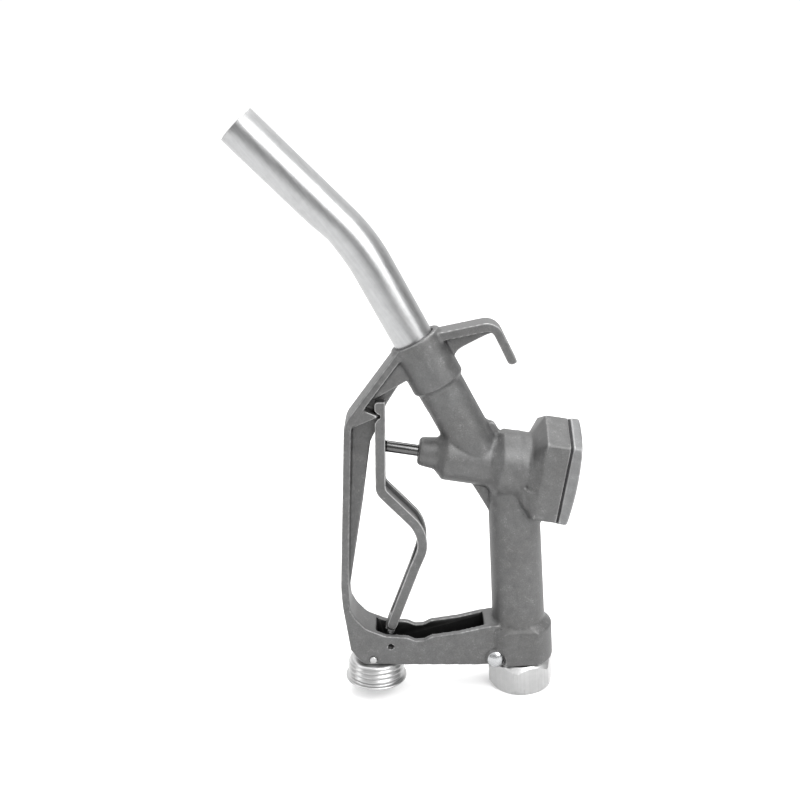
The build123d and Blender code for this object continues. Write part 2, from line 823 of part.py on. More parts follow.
def swivel_ring():
    inner = spigot_radius - ring_section + ring_slack
    return o_ring(Plane.XY.offset(swivel_ring_height()), inner, ring_section - ring_slack)


def inlet_gasket():
    start = inlet_thread_depth
    thickness = seat_recess_depth - strainer_flange
    return ring(Plane.XY.offset(start), seat_recess_radius - socket_gap, flow_radius, thickness)


def inlet_strainer():
    top = inlet_thread_depth + seat_recess_depth
    flange = ring(Plane.XY.offset(top - strainer_flange), seat_recess_radius - socket_gap,
                  strainer_radius - strainer_wall, strainer_flange)
    cup = rod(Plane.XY.offset(top - strainer_flange), strainer_radius, strainer_height)
    cup -= rod(Plane.XY.offset(top - strainer_flange), strainer_radius - strainer_wall,
               strainer_height - strainer_wall)
    slots = None
    for row in range(4):
        for turn in range(4):
            at = Pos(0, 0, top + 5 + row * 7) * Rot(0, 0, turn * 45 + row * 22.5)
            cut = at * Box(strainer_radius * 3, 2.0, 4.4)
            slots = cut if slots is None else slots + cut
    return flange + (cup - slots)


def swivel_pin():
    """The retaining pin: a domed head in front, a small peened head behind."""
    depth = pin_seat_depth()
    start = Plane(origin=(pin_x(), -depth, retainer_height), z_dir=(0, 1, 0))
    shank = rod(start, retainer_radius, depth * 2)
    bulge = (dome_radius ** 2 + dome_height ** 2) / (2 * dome_height)
    ball = Pos(pin_x(), -depth - dome_height + bulge, retainer_height) * Sphere(bulge)
    front = Plane(origin=(pin_x(), -depth - dome_height - 1, retainer_height), z_dir=(0, 1, 0))
    dome = ball & rod(front, dome_radius, dome_height + 1)
    behind = Plane(origin=(pin_x(), depth, retainer_height), z_dir=(0, 1, 0))
    peened = taper(behind, retainer_radius + 1.2, retainer_radius + 0.2, 1.2)
    return shank + dome + peened


# foot cap

def foot_cap():
    """A spun cap with rolled ridges, open below."""
    top = foot_plane(-0.1)
    down = Plane(origin=top.origin, x_dir=top.x_dir, z_dir=top.z_dir * -1)
    shell = rod(down, cap_radius, cap_height - cap_bead_radius)
    shell = fillet(shell.edges().filter_by(GeomType.CIRCLE).sort_by(Axis.Z)[-1], 2.0)
    for number in range(cap_ridges):
        height = 3.9 + number * cap_ridge_pitch
        shell += foot_plane(-height) * Torus(cap_radius - 0.3, cap_ridge_radius)
    rim = foot_plane(-cap_height + cap_bead_radius * 0.4)
    shell += ring(rim, cap_rim_radius, cap_radius - cap_wall, cap_bead_radius * 1.2)
    shell += foot_plane(-cap_height + cap_bead_radius) * Torus(cap_rim_radius, cap_bead_radius)
    inside = Plane(origin=foot_plane(-cap_height - 1).origin, x_dir=top.x_dir, z_dir=top.z_dir)
    shell -= rod(inside, cap_radius - cap_wall, cap_height - cap_wall + 0.9)
    shell -= rod(foot_plane(-cap_height), plug_radius + socket_gap, cap_height + 1)
    return shell


def foot_plug():
    """The stud that carries the cap: a head inside the cap and a shank in the bracket."""
    shank = rod(foot_plane(-cap_wall - 0.15), plug_radius, plug_rise + cap_wall)
    head = rod(foot_plane(-cap_wall - 0.15 - plug_head_height), plug_head_radius, plug_head_height)
    at = foot_pin_place()
    return shank + head - cross_rod(at.X, at.Z, foot_pin_radius + socket_gap)


def foot_pin():
    at = foot_pin_place()
    start = Plane(origin=(at.X, -bracket_width / 2 - 0.4, at.Z), z_dir=(0, 1, 0))
    pin = rod(start, foot_pin_radius, bracket_width + 0.8)
    return chamfer(pin.edges().filter_by(GeomType.CIRCLE), 0.35)


# files

def write_parts():
    pieces = {
        "body_casting": body_casting,
        "spout_tube": spout_tube,
        "spout_o_ring": spout_ring,
        "spout_grub_screw": spout_grub,
        "valve_cover": valve_cover,
        "cover_gasket": cover_gasket,
        "cover_screws": cover_screws,
        "spring_guide": spring_guide,
        "valve_seat": valve_seat,
        "valve_stem": valve_stem,
        "seal_washer": seal_washer,
        "poppet_seal": poppet_seal,
        "poppet": poppet,
        "stem_nut": stem_nut,
        "main_spring": main_spring,
        "gland_bush": gland_bush,
        "stem_packing": stem_packing,
        "gland_circlip": gland_circlip,
        "lever": lever,
        "swivel_nut": swivel_nut,
        "swivel_o_ring": swivel_ring,
        "inlet_gasket": inlet_gasket,
        "inlet_strainer": inlet_strainer,
        "swivel_pin": swivel_pin,
        "foot_cap": foot_cap,
        "foot_plug": foot_plug,
        "foot_pin": foot_pin,
    }
    os.makedirs("parts", exist_ok=True)
    for name, make in pieces.items():
        shape = make()
        export_step(shape, f"parts/{name}.step")
        print(name, round(shape.volume, 1))


write_parts()
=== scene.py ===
import json
import math
import bpy
import numpy as np
from mathutils import Matrix, Vector


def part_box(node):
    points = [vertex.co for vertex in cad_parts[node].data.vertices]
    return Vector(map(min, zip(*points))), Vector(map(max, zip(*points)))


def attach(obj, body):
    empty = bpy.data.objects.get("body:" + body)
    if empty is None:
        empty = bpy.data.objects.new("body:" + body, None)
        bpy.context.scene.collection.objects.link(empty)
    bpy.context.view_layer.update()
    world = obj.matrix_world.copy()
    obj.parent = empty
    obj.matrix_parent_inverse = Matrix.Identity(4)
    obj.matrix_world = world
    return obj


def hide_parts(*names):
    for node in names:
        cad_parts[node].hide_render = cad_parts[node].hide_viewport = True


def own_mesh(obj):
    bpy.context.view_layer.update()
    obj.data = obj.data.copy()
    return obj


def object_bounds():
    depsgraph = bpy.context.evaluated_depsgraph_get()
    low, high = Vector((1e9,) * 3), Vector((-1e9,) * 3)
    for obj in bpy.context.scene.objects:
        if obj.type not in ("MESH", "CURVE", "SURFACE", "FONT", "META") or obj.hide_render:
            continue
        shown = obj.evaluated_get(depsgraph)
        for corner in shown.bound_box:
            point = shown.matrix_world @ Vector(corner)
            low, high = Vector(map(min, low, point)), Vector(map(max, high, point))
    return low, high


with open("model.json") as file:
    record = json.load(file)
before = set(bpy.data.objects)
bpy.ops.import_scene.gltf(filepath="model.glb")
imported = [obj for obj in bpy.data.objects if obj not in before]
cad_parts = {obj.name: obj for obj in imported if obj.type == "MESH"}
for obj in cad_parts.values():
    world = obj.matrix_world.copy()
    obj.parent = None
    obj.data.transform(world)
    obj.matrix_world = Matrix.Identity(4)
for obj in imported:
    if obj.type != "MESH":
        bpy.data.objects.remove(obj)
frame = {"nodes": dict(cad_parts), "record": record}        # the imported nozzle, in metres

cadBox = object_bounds()
mounts = {mount["name"]: mount for mount in frame["record"]["mounts"]}
mm = 0.001


# helpers for picking, editing and finishing

def pickOnly(piece):
    bpy.ops.object.select_all(action="DESELECT")
    piece.select_set(True)
    bpy.context.view_layer.objects.active = piece


def applyModifier(piece, kind, **values):
    modifier = piece.modifiers.new(kind.title(), kind)
    for name, value in values.items():
        setattr(modifier, name, value)
    pickOnly(piece)
    bpy.ops.object.modifier_apply(modifier=modifier.name)


def startEdit(piece):
    pickOnly(piece)
    bpy.ops.object.mode_set(mode="EDIT")
    bpy.ops.mesh.select_all(action="SELECT")


def endEdit():
    bpy.ops.mesh.select_all(action="SELECT")
    bpy.ops.mesh.normals_make_consistent(inside=False)
    bpy.ops.object.mode_set(mode="OBJECT")


def settle(piece):
    pickOnly(piece)        # the place goes into the mesh, so the object sits at the origin
    bpy.ops.object.transform_apply(location=True, rotation=True, scale=True)


def nodeCopy(node, name):
    source = frame["nodes"][node]        # a merged copy of a node's mesh, to be worked on
    piece = bpy.data.objects.new(name, source.data.copy())
    piece.data.name = name
    bpy.context.scene.collection.objects.link(piece)
    piece.data.materials.clear()
    startEdit(piece)
    bpy.ops.mesh.remove_doubles(threshold=0.002 * mm)
    endEdit()
    return piece


def finishPiece(piece, body, material, nodes, angle=40):
    pickOnly(piece)
    bpy.ops.object.shade_smooth_by_angle(angle=math.radians(angle))
    piece.data.materials.clear()
    piece.data.materials.append(material)
    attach(piece, body)
    if nodes:
        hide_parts(*nodes)
    print(piece.name, len(piece.data.polygons), "faces")
    return piece


def paintNode(node, material):
    carried = frame["nodes"][node]
    if not carried.material_slots:
        carried.data.materials.append(material)
    for slot in carried.material_slots:
        slot.material = material


def boxOf(node):
    low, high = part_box(node)
    return Vector(low), Vector(high)


def middleOf(node):
    low, high = boxOf(node)
    return (low + high) / 2


def turnedFrom(direction):
    return Vector(direction).to_track_quat("Z", "Y").to_euler()


def cutterRod(place, direction, radius, length, sides=32, tip=None):
    bpy.ops.object.select_all(action="DESELECT")        # centred on its place
    bpy.ops.mesh.primitive_cone_add(vertices=sides, radius1=radius, radius2=radius if tip is None else tip,
                                    depth=length, location=place, rotation=turnedFrom(direction))
    return bpy.context.object


def cutterBox(low, high):
    bpy.ops.object.select_all(action="DESELECT")
    bpy.ops.mesh.primitive_cube_add(size=1, location=(low + high) / 2)
    cube = bpy.context.object
    cube.scale = high - low
    return cube


def cutAway(piece, cutters, solver="MANIFOLD"):
    for cutter in cutters:
        settle(cutter)
        applyModifier(piece, "BOOLEAN", operation="DIFFERENCE", object=cutter, solver=solver)
        bpy.data.objects.remove(cutter, do_unlink=True)


def readPoints(piece):
    flat = np.empty(len(piece.data.vertices) * 3)
    piece.data.vertices.foreach_get("co", flat)
    return flat.reshape(-1, 3)


def writePoints(piece, points):
    piece.data.vertices.foreach_set("co", points.ravel())
    piece.data.update()


def fade(values, start, end):
    share = np.clip((values - start) / (end - start), 0, 1)
    return share * share * (3 - 2 * share)


def setWeights(piece, name, weights):
    group = piece.vertex_groups.get(name) or piece.vertex_groups.new(name=name)
    steps = np.round(np.clip(weights, 0, 1) * 20).astype(int)
    for step in range(21):
        chosen = np.nonzero(steps == step)[0]
        if len(chosen):
            group.add(chosen.tolist(), step / 20, "REPLACE")


def addPointValue(piece, name, values):
    attribute = piece.data.attributes.new(name, "FLOAT", "POINT")
    attribute.data.foreach_set("value", np.asarray(values, dtype=np.float32))


def bendingOf(piece, rounds):
    mesh = piece.data        # how sharply the surface turns at each point, per mm, convex above zero
    points = readPoints(piece)
    normals = np.empty(len(points) * 3)
    mesh.vertices.foreach_get("normal", normals)
    normals = normals.reshape(-1, 3)
    ends = np.empty(len(mesh.edges) * 2, dtype=np.int64)
    mesh.edges.foreach_get("vertices", ends)
    first, second = ends.reshape(-1, 2).T
    count = np.bincount(first, minlength=len(points)) + np.bincount(second, minlength=len(points))
    count = np.maximum(count, 1)
    span = points[second] - points[first]
    length = np.maximum((span ** 2).sum(1), 1e-12)
    there = -(span * normals[first]).sum(1) / length
    back = (span * normals[second]).sum(1) / length
    value = np.bincount(first, there, len(points)) + np.bincount(second, back, len(points))
    value = np.clip(value / count * mm, -3, 3)
    for turn in range(rounds):
        around = np.bincount(first, value[second], len(points)) + np.bincount(second, value[first], len(points))
        value = 0.5 * value + 0.5 * around / count
    return value


# materials

def startMaterial(name):
    material = bpy.data.materials.new(name)
    material.use_nodes = True
    nodes = material.node_tree.nodes
    return material, nodes, material.node_tree.links, nodes["Principled BSDF"], nodes.new("ShaderNodeTexCoord")


def addNoise(nodes, links, place, scale, detail=4.0, rough=0.6, stretch=None, turn=(0, 0, 0)):
    noise = nodes.new("ShaderNodeTexNoise")
    noise.inputs["Scale"].default_value = scale
    noise.inputs["Detail"].default_value = detail
    noise.inputs["Roughness"].default_value = rough
    if stretch is None:
        links.new(place.outputs["Object"], noise.inputs["Vector"])
        return noise.outputs["Fac"]
    turned = nodes.new("ShaderNodeMapping")
    turned.inputs["Rotation"].default_value = turn
    links.new(place.outputs["Object"], turned.inputs["Vector"])
    pulled = nodes.new("ShaderNodeMapping")
    pulled.inputs["Scale"].default_value = stretch
    links.new(turned.outputs["Vector"], pulled.inputs["Vector"])
    links.new(pulled.outputs["Vector"], noise.inputs["Vector"])
    return noise.outputs["Fac"]


def addRamp(nodes, links, source, stops):
    ramp = nodes.new("ShaderNodeValToRGB")
    elements = ramp.color_ramp.elements
    elements[0].position, elements[0].color = stops[0]
    elements[1].position, elements[1].color = stops[-1]
    for position, colour in stops[1:-1]:
        elements.new(position).color = colour
    links.new(source, ramp.inputs["Fac"])
    return ramp.outputs["Color"]


def grey(value, warm=0.0):
    return (value * (1 + warm), value, value * (1 - warm), 1)


def mixColour(nodes, links, kind, factor, first, second):
    mix = nodes.new("ShaderNodeMix")
    mix.data_type = "RGBA"
    mix.blend_type = kind
    if isinstance(factor, (int, float)):
        mix.inputs["Factor"].default_value = factor
    else:
        links.new(factor, mix.inputs["Factor"])
    for socket, value in (("A", first), ("B", second)):
        found = [item for item in mix.inputs if item.name == socket and item.type == "RGBA"][0]
        if isinstance(value, tuple):
            found.default_value = value
        else:
            links.new(value, found)
    return [item for item in mix.outputs if item.type == "RGBA"][0]


def multiply(nodes, links, first, second):
    product = nodes.new("ShaderNodeMath")
    product.operation = "MULTIPLY"
    links.new(first, product.inputs[0])
    links.new(second, product.inputs[1])
    return product.outputs[0]


def readValue(nodes, name):
    reader = nodes.new("ShaderNodeAttribute")
    reader.attribute_name = name
    return reader.outputs["Fac"]


def addBump(nodes, links, height, strength, distance, before=None):
    bump = nodes.new("ShaderNodeBump")
    bump.inputs["Strength"].default_value = strength
    bump.inputs["Distance"].default_value = distance
    links.new(height, bump.inputs["Height"])
    if before is not None:
        links.new(before, bump.inputs["Normal"])
    return bump.outputs["Normal"]


castMetalLook = {
    "metallic": 0.70, "roughLow": 0.44, "roughHigh": 0.58, "grain": 1300, "mottle": 170, "cloud": 28,
    "wearAndGlintTone": 0.62, "dustTone": 0.36,
}


def makeCastMetal(name, tone, cool=0.0):
    look = castMetalLook
    material, nodes, links, shader, place = startMaterial(name)
    mottle = addNoise(nodes, links, place, look["mottle"], 6.0, 0.7)
    cloud = addNoise(nodes, links, place, look["cloud"], 3.0, 0.55)
    grain = addNoise(nodes, links, place, look["grain"], 3.0, 0.65)
    base = addRamp(nodes, links, mottle, [(0.30, grey(tone * 0.84, -cool)), (0.50, grey(tone, -cool)),
                                          (0.72, grey(tone * 1.22, -cool))])
    broad = addRamp(nodes, links, cloud, [(0.3, grey(0.86, 0.008)), (0.7, grey(1.0, -0.004))])
    base = mixColour(nodes, links, "MULTIPLY", 1.0, base, broad)
    speck = addRamp(nodes, links, grain, [(0.35, grey(0.82)), (0.62, grey(1.0))])
    base = mixColour(nodes, links, "MULTIPLY", 0.9, base, speck)
    dust = addRamp(nodes, links, multiply(nodes, links, mottle, grain), [(0.33, grey(0.0)), (0.45, grey(0.30))])
    base = mixColour(nodes, links, "MIX", dust, base, grey(look["dustTone"]))
    # convex edges lightened in patches: partly edge wear, partly a painted edge highlight
    wearAndGlint = addRamp(nodes, links, readValue(nodes, "wearAndGlint"), [(0.12, grey(0.0)), (0.36, grey(0.6))])
    chips = addRamp(nodes, links, mottle, [(0.32, grey(0.35)), (0.60, grey(1.0))])
    base = mixColour(nodes, links, "MIX", multiply(nodes, links, wearAndGlint, chips), base, grey(look["wearAndGlintTone"]))
    # painted shade: hollows, creases and inner corners darkened in the base colour
    hollowShade = addRamp(nodes, links, readValue(nodes, "hollowShade"), [(0.03, grey(1.0)), (0.35, grey(0.42))])
    base = mixColour(nodes, links, "MULTIPLY", 0.9, base, hollowShade)
    # painted shade: the region marked inside, the lever slot's inner walls, darkened almost to black
    inside = addRamp(nodes, links, readValue(nodes, "inside"), [(0.0, grey(1.0)), (1.0, grey(0.10))])
    links.new(mixColour(nodes, links, "MULTIPLY", 1.0, base, inside), shader.inputs["Base Color"])
    rough = addRamp(nodes, links, mottle, [(0.3, grey(look["roughLow"])), (0.7, grey(look["roughHigh"]))])
    links.new(rough, shader.inputs["Roughness"])
    shader.inputs["Metallic"].default_value = look["metallic"]
    coarse = addBump(nodes, links, mottle, 0.5, 0.22 * mm)
    links.new(addBump(nodes, links, grain, 0.5, 0.09 * mm, coarse), shader.inputs["Normal"])
    return material


def makeBright(name, tone, roughLow, roughHigh, streak, stretch, turn=(0, 0, 0), warm=0.0, depth=0.03):
    material, nodes, links, shader, place = startMaterial(name)
    lines = addNoise(nodes, links, place, streak, 5.0, 0.7, stretch, turn)
    scuff = addNoise(nodes, links, place, 160, 5.0, 0.65)
    base = addRamp(nodes, links, lines, [(0.3, grey(tone * 0.88, warm)), (0.7, grey(tone * 1.06, warm))])
    dull = addRamp(nodes, links, scuff, [(0.32, grey(0.88)), (0.58, grey(1.0))])
    links.new(mixColour(nodes, links, "MULTIPLY", 0.8, base, dull), shader.inputs["Base Color"])
    rough = addRamp(nodes, links, lines, [(0.3, grey(roughLow)), (0.7, grey(roughHigh))])
    links.new(rough, shader.inputs["Roughness"])
    shader.inputs["Metallic"].default_value = 1.0
    links.new(addBump(nodes, links, lines, 0.25, depth * mm), shader.inputs["Normal"])
    return material


def makeDull(name, colour, rough, bumpScale, speckle=0.12):
    material, nodes, links, shader, place = startMaterial(name)
    noise = addNoise(nodes, links, place, bumpScale, 4.0, 0.6)
    dark = tuple(channel * (1 - speckle) for channel in colour) + (1,)
    light = tuple(min(1, channel * (1 + speckle)) for channel in colour) + (1,)
    links.new(addRamp(nodes, links, noise, [(0.3, dark), (0.7, light)]), shader.inputs["Base Color"])
    worn = addRamp(nodes, links, noise, [(0.3, grey(rough - 0.06)), (0.7, grey(rough + 0.06))])
    links.new(worn, shader.inputs["Roughness"])
    links.new(addBump(nodes, links, noise, 0.3, 0.06 * mm), shader.inputs["Normal"])
    return material


spoutLean = math.atan2(-mounts["spout_outlet"]["axis"][0], mounts["spout_outlet"]["axis"][2])
bodyMetal = makeCastMetal("bodyMetal", 0.128)
coverMetal = makeCastMetal("coverMetal", 0.190, 0.012)
leverMetal = makeCastMetal("leverMetal", 0.130)
spoutMetal = makeBright("spoutMetal", 0.38, 0.30, 0.38, 700, (1, 1, 0.025), (0, spoutLean - 0.15, 0),
                        warm=-0.006, depth=0.02)
nutMetal = makeBright("nutMetal", 0.44, 0.28, 0.42, 800, (1, 1, 0.015))
capMetal = makeBright("capMetal", 0.46, 0.30, 0.38, 700, (0.04, 0.04, 1), depth=0.005)
stemMetal = makeBright("stemMetal", 0.10, 0.14, 0.24, 700, (0.06, 1, 1), depth=0.02)
zincMetal = makeBright("zincMetal", 0.46, 0.20, 0.34, 350, (1, 1, 1), warm=-0.015)
springMetal = makeBright("springMetal", 0.38, 0.30, 0.42, 500, (1, 1, 1))
brassMetal = makeBright("brassMetal", 0.52, 0.25, 0.38, 500, (1, 1, 1), warm=0.28)
sealRubber = makeDull("sealRubber", (0.022, 0.022, 0.023), 0.62, 700)
gasketSheet = makeDull("gasketSheet", (0.010, 0.010, 0.011), 0.78, 500)
guidePlastic = makeDull("guidePlastic", (0.06, 0.06, 0.065), 0.5, 400)
strainerPlastic = makeDull("strainerPlastic", (0.62, 0.6, 0.55), 0.48, 350, 0.06)
print("materials made")


# cast pieces: a soft-edged skin over the exact solid

def remesh(piece, voxel):
    applyModifier(piece, "REMESH", mode="VOXEL", voxel_size=voxel)


def thin(piece, triangles):
    count = sum(len(face.vertices) - 2 for face in piece.data.polygons)
    if count > triangles:
        applyModifier(piece, "DECIMATE", decimate_type="COLLAPSE", ratio=triangles / count)


def addWearAndShade(piece, rounds, inside=None):
    # convex edges carry wear and a painted highlight; hollows and the inside region carry painted shade
    bend = bendingOf(piece, rounds)
    addPointValue(piece, "wearAndGlint", np.clip(bend, 0, 1))
    addPointValue(piece, "hollowShade", np.clip(-bend * 1.5, 0, 1))
    addPointValue(piece, "inside", np.zeros(len(bend)) if inside is None else inside)


bodySkin = {
    "voxel": 0.62 * mm, "blend": 1.9 * mm, "soften": 2, "triangles": 188000,
    "slotLow": 30.6, "slotStep": 36.0, "slotLowTop": 45.0, "slotTop": 56.0,
    "slotLeft": -95.5, "slotLowLeft": -91.0, "slotRight": -23.5, "slotHalf": 9.0,
    "lock": (-86.1, 38.0), "lockRadius": 2.0, "pinRadius": 2.75, "footRadius": 2.45, "holeLength": 60.0,
    # the box of painted shade inside the lever slot
    "shadeHalf": 9.1, "shadeLeft": -96, "shadeRight": -23, "shadeLow": 30, "shadeTop": 46, "shadeFade": (-44, -40),
}


def blendShare(points):
    x, y, z = points.T / mm        # strong at the neck's and handle's roots, weak at the crisp parts
    roots = fade(x, -62, -52) * fade(z, 100, 112) * (1 - fade(z, 205, 225)) * (1 - fade(x, 4, 8))
    return 0.35 + 0.65 * roots


def makeBody():
    skin = bodySkin
    piece = nodeCopy("body_casting", "bodyCasting")
    remesh(piece, skin["voxel"])
    for sign in (1, -1):
        setWeights(piece, "blend", blendShare(readPoints(piece)))
        applyModifier(piece, "DISPLACE", direction="NORMAL", mid_level=0.0, strength=sign * skin["blend"],
                      vertex_group="blend")
        remesh(piece, skin["voxel"])
    applyModifier(piece, "SMOOTH", factor=0.5, iterations=skin["soften"])
    thin(piece, skin["triangles"])
    pinAt, footAt = middleOf("swivel_pin"), middleOf("foot_pin")
    half, low, right = skin["slotHalf"] * mm, skin["slotLow"] * mm, skin["slotRight"] * mm
    toothed = [
        cutterBox(Vector((skin["slotLowLeft"] * mm, -half, low)),
                  Vector((right, half, skin["slotLowTop"] * mm))),
        cutterBox(Vector((skin["slotLeft"] * mm, -half, skin["slotStep"] * mm)),
                  Vector((right, half, skin["slotTop"] * mm))),
    ]
    lock = Vector((skin["lock"][0] * mm, 0, skin["lock"][1] * mm))
    holes = [(lock, skin["lockRadius"]), (pinAt, skin["pinRadius"]), (footAt, skin["footRadius"])]
    rods = [cutterRod(place, (0, 1, 0), radius * mm, skin["holeLength"] * mm) for place, radius in holes]
    cutAway(piece, toothed + rods)
    # painted shade on the lever slot's inner walls, darkest towards the slot's floor
    x, y, z = readPoints(piece).T / mm
    inside = (np.abs(y) < skin["shadeHalf"]) & (x > skin["shadeLeft"]) & (x < skin["shadeRight"])
    inside = inside & (z < skin["shadeTop"]) & (z > skin["shadeLow"])
    addWearAndShade(piece, 2, inside * (0.55 + 0.45 * fade(-z, *skin["shadeFade"])))
    return finishPiece(piece, "body", bodyMetal, ["body_casting"], 50)


leverSkin = {"voxel": 0.36 * mm, "soften": 2, "triangles": 120000}


def makeLever():
    piece = nodeCopy("lever", "castLever")
    remesh(piece, leverSkin["voxel"])
    applyModifier(piece, "SMOOTH", factor=0.5, iterations=leverSkin["soften"])
    thin(piece, leverSkin["triangles"])
    addWearAndShade(piece, 3)
    return finishPiece(piece, "lever", leverMetal, ["lever"], 60)


coverSkin = {"voxel": 0.38 * mm, "soften": 2, "triangles": 110000}


def makeCover():
    piece = nodeCopy("valve_cover", "valveCover")
    remesh(piece, coverSkin["voxel"])
    applyModifier(piece, "SMOOTH", factor=0.5, iterations=coverSkin["soften"])
    thin(piece, coverSkin["triangles"])
    addWearAndShade(piece, 3)
    return finishPiece(piece, "body", coverMetal, ["valve_cover"], 60)


makeBody()
makeLever()
makeCover()


# the spout: a drawn tube, spun round its bend

spoutLook = {
    "radius": 12.7, "wall": 1.5, "bend": 17.0, "bendRadius": 110.0, "lower": 73.16, "sides": 96,
    "dent": 0.9, "dentLength": 9.0, "dentAcross": 0.6, "rim": 0.35,
    "upperSteps": 16, "bendSteps": 24, "lowerSteps": 12,
}


def makeSpout():
    look = spoutLook
    upper = Vector(mounts["spout_outlet"]["axis"]).normalized()
    length = mounts["spout_outlet"]["dims"]["length_mm"]
    middle = Vector(mounts["spout_outlet"]["pos_m"])
    tip = middle + upper * length / 2 * mm
    bpy.ops.object.select_all(action="DESELECT")
    bpy.ops.mesh.primitive_circle_add(vertices=look["sides"], radius=look["radius"] * mm, fill_type="NOTHING",
                                      location=tip, rotation=turnedFrom(upper))
    piece = bpy.context.object
    piece.name = "spoutTube"
    settle(piece)
    startEdit(piece)
    for step in range(look["upperSteps"]):
        shift = -upper * length / look["upperSteps"] * mm
        bpy.ops.mesh.extrude_region_move(TRANSFORM_OT_translate={"value": shift})
    bendStart = tip - upper * length * mm
    side = Vector((upper.z, 0, -upper.x))
    centre = bendStart - side * look["bendRadius"] * mm
    bpy.ops.mesh.spin(steps=look["bendSteps"], angle=-math.radians(look["bend"]), center=centre,
                      axis=(0, 1, 0))
    turn = Matrix.Rotation(math.radians(look["bend"]), 3, "Y")
    lower = turn @ upper
    for step in range(look["lowerSteps"]):
        shift = -lower * look["lower"] / look["lowerSteps"] * mm
        bpy.ops.mesh.extrude_region_move(TRANSFORM_OT_translate={"value": shift})
    endEdit()
    points = readPoints(piece)
    inner = bendStart - side * look["radius"] * mm
    away = np.linalg.norm((points - np.array(inner)) * [1, look["dentAcross"], 1], axis=1) / mm
    points += np.array(side)[None, :] * (look["dent"] * np.exp(-(away / look["dentLength"]) ** 2))[:, None] * mm
    writePoints(piece, points)
    applyModifier(piece, "SOLIDIFY", thickness=look["wall"] * mm, offset=-1.0)
    applyModifier(piece, "BEVEL", width=look["rim"] * mm, segments=3, limit_method="ANGLE",
                  angle_limit=math.radians(60))
    return finishPiece(piece, "body", spoutMetal, ["spout_tube"], 50)


makeSpout()


# the foot cap: one spun profile with rolled ridges and a rolled rim

capLook = {
    "tilt": 3.943, "pinHeight": 3.4, "pinOffset": -1.6, "steps": 128,
    "crown": [(4.3, -0.15), (14.9, -0.15), (16.7, -0.5), (17.6, -1.5), (17.8, -2.3)],
    "ridges": 3, "firstRidge": -3.9, "ridgePitch": 3.5, "ridgeRadius": 18.75, "valleyRadius": 17.7,
    "ridgeUpper": (18.2, 0.9), "ridgeLower": (18.3, -0.9), "valleyDrop": 1.7,
    "rim": [(17.8, -12.5), (18.1, -13.2), (19.1, -13.6), (20.0, -13.55), (20.55, -14.1), (20.55, -14.7),
            (20.0, -15.2), (19.2, -15.1), (18.6, -14.5), (17.6, -14.2)],
    "inner": [(16.9, -13.4), (16.85, -2.8), (16.4, -1.7), (14.9, -1.15), (4.3, -1.15)],
}


def capProfile():
    look = capLook
    ridged = []
    for turn in range(look["ridges"]):
        height = look["firstRidge"] - turn * look["ridgePitch"]
        if turn:
            ridged.append((look["valleyRadius"], height + look["ridgePitch"] - look["valleyDrop"]))
        ridged.append((look["ridgeUpper"][0], height + look["ridgeUpper"][1]))
        ridged.append((look["ridgeRadius"], height))
        ridged.append((look["ridgeLower"][0], height + look["ridgeLower"][1]))
    return look["crown"] + ridged + look["rim"] + look["inner"]


def makeCap():
    look = capLook
    tilt = math.radians(look["tilt"])
    up = Vector((math.sin(tilt), 0, math.cos(tilt)))
    out = Vector((math.cos(tilt), 0, -math.sin(tilt)))
    base = middleOf("foot_pin") - up * look["pinHeight"] * mm - out * look["pinOffset"] * mm
    corners = [base + out * radius * mm + up * height * mm for radius, height in capProfile()]
    bpy.ops.object.select_all(action="DESELECT")
    bpy.ops.mesh.primitive_circle_add(vertices=len(corners), radius=1, fill_type="NOTHING")
    piece = bpy.context.object
    piece.name = "footCap"
    writePoints(piece, np.array([list(corner) for corner in corners]))
    startEdit(piece)
    bpy.ops.mesh.subdivide(number_cuts=1, smoothness=0.6)
    bpy.ops.mesh.spin(steps=look["steps"], angle=math.tau, center=base, axis=up, use_auto_merge=True)
    bpy.ops.mesh.select_all(action="SELECT")
    bpy.ops.mesh.remove_doubles(threshold=0.01 * mm)
    endEdit()
    return finishPiece(piece, "body", capMetal, ["foot_cap"], 60)


makeCap()


# the swivel nut: the turned hexagon, its inlet thread and two setting marks

nutLook = {
    "edge": 0.3, "turnedRadius": 19.7, "turnedSlope": 0.62, "turnedHeight": 44.0, "turnedDrop": 1.0,
    "marks": (-6.0, 0.2), "markWidth": 0.32, "markTop": 4.4, "markDepth": 2.05,
    "threadRadius": 15.2, "threadCrest": 14.55, "threadStart": 0.5, "pitch": 2.309, "turns": 4,
    "threadShare": 0.86, "crestShare": (0.85, 1.15), "threadSteps": 96,
}


def makeNut():
    look = nutLook
    piece = nodeCopy("swivel_nut", "swivelNut")
    low, high = boxOf("swivel_nut")
    half = look["markWidth"] / 2
    front, top = low.y + look["markDepth"] * mm, low.z + look["markTop"] * mm
    marks = [cutterBox(Vector(((x - half) * mm, low.y - mm, low.z - mm)), Vector(((x + half) * mm, front, top)))
             for x in look["marks"]]
    cutAway(piece, marks, "EXACT")
    tall, drop, slope = look["turnedHeight"], look["turnedDrop"], look["turnedSlope"]
    start = look["turnedRadius"] - slope * drop        # a cone that rounds off the hexagon's lower corners
    end = look["turnedRadius"] + slope * (tall - drop)
    turned = cutterRod(Vector((0, 0, low.z + (tall / 2 - drop) * mm)), Vector((0, 0, 1)), start * mm, tall * mm,
                       128, end * mm)
    settle(turned)
    applyModifier(piece, "BOOLEAN", operation="INTERSECT", object=turned, solver="EXACT")
    bpy.data.objects.remove(turned, do_unlink=True)
    applyModifier(piece, "BEVEL", width=look["edge"] * mm, segments=3, limit_method="ANGLE",
                  angle_limit=math.radians(28))
    return finishPiece(piece, "swivel", nutMetal, ["swivel_nut"], 35)


